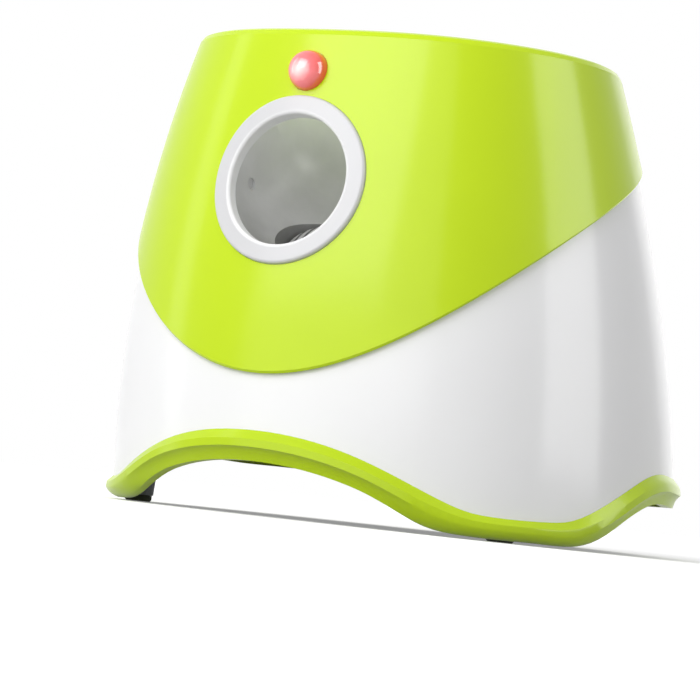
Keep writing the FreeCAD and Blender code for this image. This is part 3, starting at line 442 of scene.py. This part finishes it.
print("stage: materials")
finishes = {name: plastic(name) for name in plastics}
finishes.update({name: metal(name) for name in metals})
for made in (ringWhite(), chamberGrey(), lensRed(), clearLens(), boardGreen()):
    finishes[made.name] = made

nodeFinishes = {
    "coverGreen": ["upper_cover"],
    "bodyWhite": ["body_shell"],
    "rimGreen": ["base_rim", "power_button"],
    "bowlGreen": ["hopper_bowl"],
    "ringWhite": ["exit_ring"],
    "chamberGrey": ["launch_chamber", "ball_sensor_emitter", "ball_sensor_receiver"],
    "lensRed": ["lamp_lens"],
    "clearLens": ["lamp_led", "indicator_lens_1", "indicator_lens_2"],
    "boardGreen": ["lamp_board", "button_board", "main_board"],
    "headWhite": ["striker_head"],
    "rackBlack": ["striker_rack"],
    "guideGrey": ["striker_guide", "guide_cap"],
    "springSteel": ["striker_spring", "battery_contact_plates", "battery_contact_leaves"],
    "gearWhite": ["sector_gear", "compound_gear_a", "compound_gear_b"],
    "pinionBrass": ["motor_pinion"],
    "axleSteel": ["motor_shaft", "sector_axle", "gear_axle_a", "gear_axle_b", "case_screws", "gearbox_screws",
                  "board_screws"],
    "motorCan": ["motor"],
    "frameBlack": ["gearbox_plate_left", "gearbox_plate_right", "power_socket"],
    "floorGrey": ["floor_plate", "battery_door"],
    "footRubber": ["rubber_foot_front_left", "rubber_foot_front_right", "rubber_foot_rear"],
    "speakerBlack": ["speaker"],
    "panelGrey": ["control_panel"],
}
for finish, names in nodeFinishes.items():
    for name in names:
        mesh = nodes[name].data
        mesh.materials.clear()
        mesh.materials.append(finishes[finish])


def jointFacts(name):
    return next(joint for joint in frame["joints"] if joint["name"] == name)


def addObject(name, data):
    made = bpy.data.objects.new(name, data)
    bpy.context.scene.collection.objects.link(made)
    return made


def newTree(name, sizes, counts):
    # a Geometry Nodes tree with one named input for each size, each count and the material
    tree = bpy.data.node_groups.new(name, "GeometryNodeTree")
    kinds = {**dict.fromkeys(sizes, "NodeSocketFloat"), **dict.fromkeys(counts, "NodeSocketInt"),
             "Material": "NodeSocketMaterial"}
    for entry, kind in kinds.items():
        tree.interface.new_socket(name=entry, in_out="INPUT", socket_type=kind)
    tree.interface.new_socket(name="Geometry", in_out="OUTPUT", socket_type="NodeSocketGeometry")
    graph = Graph(tree)
    return graph, {entry: graph.node("NodeGroupInput", {}, {}, entry) for entry in kinds}


def finishTree(graph, shape, material):
    real = graph.node("GeometryNodeRealizeInstances", {}, {"Geometry": shape})
    dressed = graph.node("GeometryNodeSetMaterial", {}, {"Geometry": real, "Material": material})
    graph.node("NodeGroupOutput", {}, {"Geometry": dressed})
    return graph.tree


def sweep(graph, line, section):
    # a closed solid that follows a line
    return graph.node("GeometryNodeCurveToMesh", {}, {
        "Curve": line, "Profile Curve": section, "Fill Caps": True})


def grow(name, tree, values, body, material):
    # runs the tree once and keeps its result as one plain mesh that rides on a body
    carrier = addObject(name + "Carrier", bpy.data.meshes.new(name + "Carrier"))
    modifier = carrier.modifiers.new("grow", "NODES")
    modifier.node_group = tree
    sockets = {item.name: item.identifier for item in tree.interface.items_tree if item.in_out == "INPUT"}
    for entry, value in {**values, "Material": material}.items():
        modifier[sockets[entry]] = value
    bpy.context.view_layer.update()
    ready = carrier.evaluated_get(bpy.context.evaluated_depsgraph_get())
    mesh = bpy.data.meshes.new_from_object(ready)
    mesh.name = name
    carrier.modifiers.clear()
    bpy.data.objects.remove(carrier)
    piece = addObject(name, mesh)
    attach(piece, body)
    return piece


def settle(piece, turn, place, smooth=True):
    # puts the finished mesh in its place, so the object itself stays at the origin
    piece.data.transform(Matrix.Translation(place) @ turn.to_4x4())
    work = bmesh.new()
    work.from_mesh(piece.data)
    bmesh.ops.remove_doubles(work, verts=work.verts, dist=0.001 * mm)
    bmesh.ops.recalc_face_normals(work, faces=work.faces)
    for face in work.faces:
        face.smooth = smooth
    work.to_mesh(piece.data)
    work.free()


# the striker's spring: round wire, with closed turns at both ends
spring = {
    "wire": 1.5 * mm,
    "radius": 5.6 * mm,
    "openTurns": 6.0,
    "closedTurns": 1.25,
    "stepsPerTurn": 40,
    "wireSides": 16,
}


def springTree():
    graph, sizes = newTree("coiledWire", ("Radius", "Length", "Wire", "Open Turns", "Closed Turns"),
                           ("Steps", "Sides"))
    wire, openTurns, closedTurns = sizes["Wire"], sizes["Open Turns"], sizes["Closed Turns"]
    line = graph.node("GeometryNodeCurvePrimitiveLine", {}, {"End": (0.0, 0.0, 1.0)})
    line = graph.node("GeometryNodeResampleCurve", {}, {"Curve": line, "Count": sizes["Steps"]})
    done = graph.node("GeometryNodeSplineParameter", {}, {}) * (openTurns + closedTurns * 2.0)
    climbed = (done - closedTurns).clamped(0.0, openTurns) / openTurns
    first = done.clamped(0.0, closedTurns)
    last = (done - closedTurns - openTurns).clamped(0.0, closedTurns)
    free = sizes["Length"] - wire - closedTurns * wire * 2.0
    height = climbed * free + (first + last) * wire + wire * 0.5
    angle = done * (2.0 * math.pi)
    spot = graph.node("ShaderNodeCombineXYZ", {}, {
        "X": angle.cosine() * sizes["Radius"], "Y": angle.sine() * sizes["Radius"], "Z": height})
    coil = graph.node("GeometryNodeSetPosition", {}, {"Geometry": line, "Position": spot})
    section = graph.node("GeometryNodeCurvePrimitiveCircle", {}, {
        "Resolution": sizes["Sides"], "Radius": wire * 0.5})
    return finishTree(graph, sweep(graph, coil, section), sizes["Material"])


def makeSpring():
    # the slide's own axis and the CAD spring's box give its place and its length
    slide = jointFacts("striker_slide")
    way = Vector(slide["axis"]).normalized()
    low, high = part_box("striker_spring")
    middle = (Vector(low) + Vector(high)) / 2
    outer = spring["radius"] + spring["wire"] / 2
    length = ((high[2] - low[2]) - 2 * outer * abs(way.y)) / abs(way.z)
    turns = spring["openTurns"] + 2 * spring["closedTurns"]
    piece = grow("strikerSpring", springTree(), {
        "Radius": spring["radius"], "Length": length, "Wire": spring["wire"],
        "Open Turns": spring["openTurns"], "Closed Turns": spring["closedTurns"],
        "Steps": int(turns * spring["stepsPerTurn"]), "Sides": spring["wireSides"],
    }, "housing", finishes["springSteel"])
    settle(piece, way.to_track_quat("Z", "X").to_matrix(), middle - way * (length / 2))
    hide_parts("striker_spring")
    travel = slide["range_m"][1]
    tuple(middle + way * (length / 2))
    (length - travel) / length
    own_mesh(piece)


# the moulded power mark on the button: an open ring with a bar in its gap
mark = {
    "radius": 2.7 * mm,
    "line": 0.8 * mm,
    "proud": 0.14 * mm,
    "gap": math.radians(70.0),
    "barLow": 0.5 * mm,
    "barHigh": 3.5 * mm,
    "arcSteps": 48,
}


def markTree():
    graph, sizes = newTree("openRing", ("Radius", "Line", "Depth", "Gap", "Bar Low", "Bar High"), ("Steps",))
    arc = graph.node("GeometryNodeCurveArc", {"mode": "RADIUS"}, {
        "Resolution": sizes["Steps"], "Radius": sizes["Radius"],
        "Start Angle": sizes["Gap"] * 0.5 + math.pi / 2, "Sweep Angle": 2.0 * math.pi - sizes["Gap"]})
    low = graph.node("ShaderNodeCombineXYZ", {}, {"Y": sizes["Bar Low"]})
    high = graph.node("ShaderNodeCombineXYZ", {}, {"Y": sizes["Bar High"]})
    bar = graph.node("GeometryNodeCurvePrimitiveLine", {}, {"Start": low, "End": high})
    section = graph.node("GeometryNodeCurvePrimitiveQuadrilateral", {}, {
        "Width": sizes["Line"], "Height": sizes["Depth"]})
    parts = [sweep(graph, line, section) for line in (arc, bar)]
    both = graph.node("GeometryNodeJoinGeometry", {}, {"Geometry": parts})
    return finishTree(graph, both, sizes["Material"])


def makeMark():
    # the button's own axis gives the mark its tilt, and the button's face its place
    outwards = -Vector(jointFacts("power_button_press")["axis"]).normalized()
    across = Vector((-1.0, 0.0, 0.0))
    upwards = outwards.cross(across)
    face = max(outwards.dot(corner.co) for corner in nodes["power_button"].data.vertices)
    low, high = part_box("power_button")
    middle = (Vector(low) + Vector(high)) / 2
    spot = middle + outwards * (face - outwards.dot(middle))
    piece = grow("powerMark", markTree(), {
        "Radius": mark["radius"], "Line": mark["line"], "Depth": 2 * mark["proud"], "Gap": mark["gap"],
        "Bar Low": mark["barLow"], "Bar High": mark["barHigh"], "Steps": mark["arcSteps"],
    }, "button", finishes["bodyWhite"])
    settle(piece, Matrix((across, upwards, outwards)).transposed(), spot, False)


# the base rim with full, tall toes: the rule of its edges in millimetres and degrees
rim = {
    "archTerms": (24.4, -0.1, -3.0, 13.2, 4.2, 1.2, -3.5),
    "rearArch": 36.5,
    "rearFoot": 7.8,
    "rearFootWidth": 17.5,
    "rearStart": 85.0,
    "rearEnd": 120.0,
    "height": 13.5,
    "lowFoot": 0.8,
    "blend": 5.0,
    "middle": -1.1,
    "toeTop": 10.0,
    "toeTopBlend": 2.5,
    "toeSole": 0.5,
    "toeSoleBlend": 1.5,
    "drop": 2.0,
    "dropFrom": 5.0,
    "dropOver": 12.0,
    "lowest": 0.35,
    "weld": 0.002,
    "longestEdge": 5.0,
    "splits": 3,
    "sharpOver": 32.0,
}


def smoothShare(value, start, end):
    share = min(1.0, max(0.0, (value - start) / (end - start)))
    return share * share * (3.0 - 2.0 * share)


def softFloor(value, floor, blend):
    return (value + floor + math.hypot(value - floor, blend)) / 2.0


def rimEdges(angle):
    # upper and lower edge of the CAD rim at an angle from the front
    away = math.degrees(abs(angle))
    foot = math.exp(-((180.0 - away) / rim["rearFootWidth"]) ** 2)
    rear = rim["rearArch"] - (rim["rearArch"] - rim["rearFoot"]) * foot
    share = smoothShare(away, rim["rearStart"], rim["rearEnd"])
    front = sum(term * math.cos(order * angle) for order, term in enumerate(rim["archTerms"]))
    top = (1.0 - share) * front + share * rear
    rise = top - rim["height"] - rim["lowFoot"]
    return top, rim["lowFoot"] + (rise + math.hypot(rise, rim["blend"])) / 2.0


def makeRim():
    mesh = nodes["base_rim"].data.copy()
    mesh.name = "baseRimToes"
    work = bmesh.new()
    work.from_mesh(mesh)
    bmesh.ops.remove_doubles(work, verts=work.verts, dist=rim["weld"] * mm)
    for _ in range(rim["splits"]):
        longEdges = [edge for edge in work.edges if edge.calc_length() > rim["longestEdge"] * mm]
        if not longEdges:
            break
        bmesh.ops.subdivide_edges(work, edges=longEdges, cuts=1)
        bmesh.ops.triangulate(work, faces=[face for face in work.faces if len(face.verts) > 3])
    for corner in work.verts:
        # each corner keeps its share of the height between the two edges
        x, y, z = corner.co / mm
        top, low = rimEdges(math.atan2(x, rim["middle"] - y))
        share = (z - low) / (top - low)
        newTop = softFloor(top, rim["toeTop"], rim["toeTopBlend"])
        drop = rim["drop"] * (1.0 - smoothShare(low, rim["dropFrom"], rim["dropFrom"] + rim["dropOver"]))
        newLow = softFloor(low - drop, rim["toeSole"], rim["toeSoleBlend"])
        corner.co.z = max(rim["lowest"], newLow + share * (newTop - newLow)) * mm
    bmesh.ops.recalc_face_normals(work, faces=work.faces)
    for face in work.faces:
        face.smooth = True
    for edge in work.edges:
        if len(edge.link_faces) == 2:
            edge.smooth = edge.calc_face_angle() < math.radians(rim["sharpOver"])
    work.to_mesh(mesh)
    work.free()
    piece = addObject("baseRimToes", mesh)
    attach(piece, "housing")
    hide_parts("base_rim")


# the room: a floor that is lifted to white with distance, and the light of a pale room around
room = {
    "floorHalf": 6.0,
    "floorDrop": 0.0002,
    "floorColour": (0.86, 0.86, 0.86, 1.0),
    "bounceColour": (0.46, 0.46, 0.46, 1.0),
    "nearLift": 0.26,
    "farLift": 0.62,
    "nearReach": 0.35,
    "farReach": 1.3,
    "ambient": 0.71,
}


def shownRays(graph):
    # 1 for the rays that show the room itself: straight, mirrored or through something clear
    straight, mirrored, through = [graph.node("ShaderNodeLightPath", {}, {}, ray) for ray in (
        "Is Camera Ray", "Is Glossy Ray", "Is Transmission Ray")]
    return (straight + mirrored + through).clamped()


def makeFloor():
    half, drop = room["floorHalf"], -room["floorDrop"]
    mesh = bpy.data.meshes.new("studioFloor")
    mesh.from_pydata([(-half, -half, drop), (half, -half, drop), (half, half, drop), (-half, half, drop)], [],
                     [(0, 1, 2, 3)])
    floor = addObject("studioFloor", mesh)
    material, graph = newMaterial("studioFloor")
    matt = graph.node("ShaderNodeBsdfDiffuse", {}, {"Color": room["floorColour"]})
    reach = graph.vectors("LENGTH", graph.place(), out=1)
    lift = graph.node("ShaderNodeMapRange", {}, {
        0: reach, 1: room["nearReach"], 2: room["farReach"], 3: room["nearLift"], 4: room["farLift"]})
    glow = graph.node("ShaderNodeEmission", {}, {"Color": white, "Strength": lift})
    shown = graph.node("ShaderNodeAddShader", {}, {0: matt, 1: glow})
    bounce = graph.node("ShaderNodeBsdfDiffuse", {}, {"Color": room["bounceColour"]})
    both = graph.node("ShaderNodeMixShader", {}, {0: shownRays(graph), 1: bounce, 2: shown})
    graph.node("ShaderNodeOutputMaterial", {}, {"Surface": both})
    mesh.materials.append(material)


def makeWorld():
    world = bpy.data.worlds.new("studio")
    world.use_nodes = True
    world.node_tree.nodes.clear()
    graph = Graph(world.node_tree)
    level = room["ambient"] + shownRays(graph) * (1.0 - room["ambient"])
    sky = graph.node("ShaderNodeBackground", {}, {"Color": white, "Strength": level})
    graph.node("ShaderNodeOutputWorld", {}, {"Surface": sky})
    bpy.context.scene.world = world


# softboxes around the object: azimuth from the camera's side, elevation and distance, size, power, and
# whether they only show as gleams
lamps = {
    "keyBox": {"azimuth": -43.0, "elevation": 32.0, "distance": 1.5, "size": (1.2, 1.2), "power": 16.0,
               "gleamOnly": False},
    "frontWindow": {"azimuth": -34.0, "elevation": 6.0, "distance": 1.5, "size": (2.0, 2.2), "power": 23.0,
                    "gleamOnly": True},
    "leftBox": {"azimuth": -97.0, "elevation": 6.0, "distance": 1.1, "size": (0.18, 1.8), "power": 2.2,
                "gleamOnly": True},
    "leftEdge": {"azimuth": -160.0, "elevation": 6.0, "distance": 1.1, "size": (0.5, 1.8), "power": 0.5,
                 "gleamOnly": True},
    "rightBox": {"azimuth": 69.5, "elevation": 8.0, "distance": 1.1, "size": (0.66, 1.8), "power": 20.0,
                 "gleamOnly": True},
    "rightEdge": {"azimuth": 152.0, "elevation": 6.0, "distance": 1.1, "size": (0.5, 1.8), "power": 2.0,
                  "gleamOnly": True},
}
lampAim = (0.0, 0.0, 0.11)
cameraFacts = {
    "place": (0.81686, -1.36698, 0.0129),
    "forward": (-0.5223, 0.8517, 0.0430),
    "roll": 0.1091,
    "focal": 176.58,
    "sensor": 36.0,
    "shift": -0.0385,
    "nearest": 0.01,
}


def makeLamps():
    base = math.atan2(cameraFacts["place"][0], -cameraFacts["place"][1])
    for name, facts in lamps.items():
        data = bpy.data.lights.new(name, "AREA")
        data.shape = "RECTANGLE"
        data.size, data.size_y = facts["size"]
        data.energy = facts["power"]
        lamp = addObject(name, data)
        around = base + math.radians(facts["azimuth"])
        rise = math.radians(facts["elevation"])
        away = Vector((math.sin(around) * math.cos(rise), -math.cos(around) * math.cos(rise), math.sin(rise)))
        lamp.location = Vector(lampAim) + away * facts["distance"]
        lamp.rotation_mode = "QUATERNION"
        lamp.rotation_quaternion = (-away).to_track_quat("-Z", "Y")
        lamp.visible_camera = False
        lamp.visible_diffuse = not facts["gleamOnly"]


def makeCamera():
    forward = Vector(cameraFacts["forward"]).normalized()
    level = forward.cross(Vector((0.0, 0.0, 1.0))).normalized()
    rise = level.cross(forward)
    roll = cameraFacts["roll"]
    right = level * math.cos(roll) + rise * math.sin(roll)
    up = rise * math.cos(roll) - level * math.sin(roll)
    data = bpy.data.cameras.new("studioCamera")
    data.sensor_width = cameraFacts["sensor"]
    data.lens = cameraFacts["focal"]
    data.shift_x = cameraFacts["shift"]
    data.clip_start = cameraFacts["nearest"]
    camera = addObject("studioCamera", data)
    turn = Matrix((right, up, -forward)).transposed().to_4x4()
    camera.matrix_world = Matrix.Translation(Vector(cameraFacts["place"])) @ turn
    bpy.context.scene.camera = camera


print("stage: striker spring")
makeSpring()
print("stage: power mark")
makeMark()
print("stage: base rim")
makeRim()
print("stage: room, lamps and camera")
makeFloor()
makeWorld()
makeLamps()
makeCamera()
bpy.context.scene.view_settings.view_transform = "Standard"
